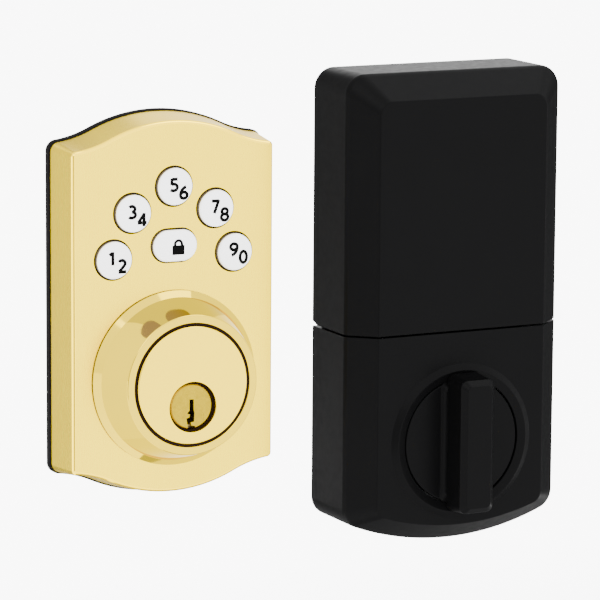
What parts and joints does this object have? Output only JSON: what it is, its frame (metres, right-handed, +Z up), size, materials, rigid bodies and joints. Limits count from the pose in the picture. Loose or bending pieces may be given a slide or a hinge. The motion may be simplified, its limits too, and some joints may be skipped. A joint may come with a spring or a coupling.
{
  "type": "keypad smart lock",
  "caption": "Deadbolt lock kit: a keypad and key-cylinder escutcheon, and a battery housing with a thumb-turn.",
  "frame": {"origin": "the key cylinder's axis where it crosses the door plane, at the back of the keypad unit", "axes": "+Z up; both units face -Y and have their backs on the plane y = 0, with the thumb-turn unit at +X; +Y points into the door"},
  "size_m": [0.1757, 0.0925, 0.1578],
  "materials": {
    "gold_body": "satin plated pale gold",
    "gold_polished": "polished",
    "gold_face": "satin",
    "plug_brass": "satin",
    "raw_brass": "machined",
    "button_white": "satin, with a printed mark",
    "gasket_black": "matte",
    "housing_black": "fine matte texture",
    "inner_black": "moulded",
    "nylon_white": "moulded",
    "zinc_steel": "zinc plated",
    "circuit_green": "solder mask",
    "component_black": "moulded",
    "mat_grey": "matte silicone",
    "button_blue": "moulded",
    "cell_sleeve": "printed sleeve"
  },
  "bodies": {
    "root": {"exterior_escutcheon": "gold_body", "exterior_gasket": "gasket_black", "exterior_backplate": "zinc_steel", "backplate_screws": "zinc_steel", "mounting_posts": "zinc_steel", "cylinder_collar": "gold_polished", "cylinder_face": "gold_face", "cylinder_body": "raw_brass", "cylinder_screws": "zinc_steel", "chamber_cap": "raw_brass", "driver_pins": "zinc_steel", "pin_springs": "zinc_steel", "keypad_mat": "mat_grey", "keypad_pcb": "circuit_green", "dome_switches": "zinc_steel", "keypad_bracket": "inner_black", "keypad_screws": "zinc_steel", "keypad_connector": "nylon_white", "interior_mounting_plate": "zinc_steel", "chassis_screws": "zinc_steel", "interior_chassis": "inner_black", "lower_cover": "housing_black", "cover_screws": "zinc_steel", "position_switches": "component_black", "idler_pin": "zinc_steel", "gear_plate": "zinc_steel", "gear_plate_screws": "zinc_steel", "gear_motor": "zinc_steel", "interior_pcb": "circuit_green", "pcb_components": "component_black", "radio_shield": "zinc_steel", "harness_connectors": "nylon_white", "buzzer": "component_black", "battery_tray": "inner_black", "battery_contacts": "zinc_steel", "battery_springs": "zinc_steel", "battery_1": "cell_sleeve", "battery_2": "cell_sleeve", "battery_3": "cell_sleeve", "battery_4": "cell_sleeve"},
    "key_plug": {"key_plug": "plug_brass", "key_pins": "raw_brass", "plug_clip": "zinc_steel", "torque_blade": "zinc_steel"},
    "thumbturn": {"thumbturn": "housing_black", "turn_flange": "nylon_white", "turn_spindle": "zinc_steel", "spindle_gear": "nylon_white", "position_cam": "nylon_white"},
    "idler": {"idler_gear": "nylon_white"},
    "pinion": {"motor_pinion": "raw_brass", "motor_shaft": "zinc_steel"},
    "battery_cover": {"battery_cover": "housing_black"},
    "button_12": {"button_12": "button_white"},
    "button_34": {"button_34": "button_white"},
    "button_56": {"button_56": "button_white"},
    "button_78": {"button_78": "button_white"},
    "button_90": {"button_90": "button_white"},
    "button_lock": {"button_lock": "button_white"},
    "program_button": {"program_button": "button_blue"}
  },
  "joints": [
    {"name": "key_turn", "type": "hinge", "parent": "root", "child": "key_plug", "pos_m": [0, -0.015, 0], "axis": [0, -1, 0], "range_deg": [-90, 90]},
    {"name": "thumb_turn", "type": "hinge", "parent": "root", "child": "thumbturn", "pos_m": [0.0983, -0.015, -0.0196], "axis": [0, -1, 0], "range_deg": [-90, 90]},
    {"name": "idler_spin", "type": "hinge", "parent": "root", "child": "idler", "pos_m": [0.0983, -0.024, 0.002], "axis": [0, -1, 0], "range_deg": [-265, 265]},
    {"name": "pinion_spin", "type": "hinge", "parent": "root", "child": "pinion", "pos_m": [0.1133, -0.022, 0.002], "axis": [0, -1, 0], "range_deg": [-680, 680]},
    {"name": "cover_slide", "type": "slide", "parent": "root", "child": "battery_cover", "axis": [0, 0, 1], "range_m": [0, 0.088]},
    {"name": "press_12", "type": "slide", "parent": "root", "child": "button_12", "axis": [0, 1, 0], "range_m": [0, 0.0008], "stiffness_N_per_m": 900},
    {"name": "press_34", "type": "slide", "parent": "root", "child": "button_34", "axis": [0, 1, 0], "range_m": [0, 0.0008], "stiffness_N_per_m": 900},
    {"name": "press_56", "type": "slide", "parent": "root", "child": "button_56", "axis": [0, 1, 0], "range_m": [0, 0.0008], "stiffness_N_per_m": 900},
    {"name": "press_78", "type": "slide", "parent": "root", "child": "button_78", "axis": [0, 1, 0], "range_m": [0, 0.0008], "stiffness_N_per_m": 900},
    {"name": "press_90", "type": "slide", "parent": "root", "child": "button_90", "axis": [0, 1, 0], "range_m": [0, 0.0008], "stiffness_N_per_m": 900},
    {"name": "press_lock", "type": "slide", "parent": "root", "child": "button_lock", "axis": [0, 1, 0], "range_m": [0, 0.0008], "stiffness_N_per_m": 900},
    {"name": "press_program", "type": "slide", "parent": "root", "child": "program_button", "axis": [0, 1, 0], "range_m": [0, 0.0006], "stiffness_N_per_m": 700}
  ],
  "couplings": [
    {"joint": "idler_spin", "follows": "thumb_turn", "ratio": -2.8571},
    {"joint": "pinion_spin", "follows": "thumb_turn", "ratio": 7.3469}
  ]
}
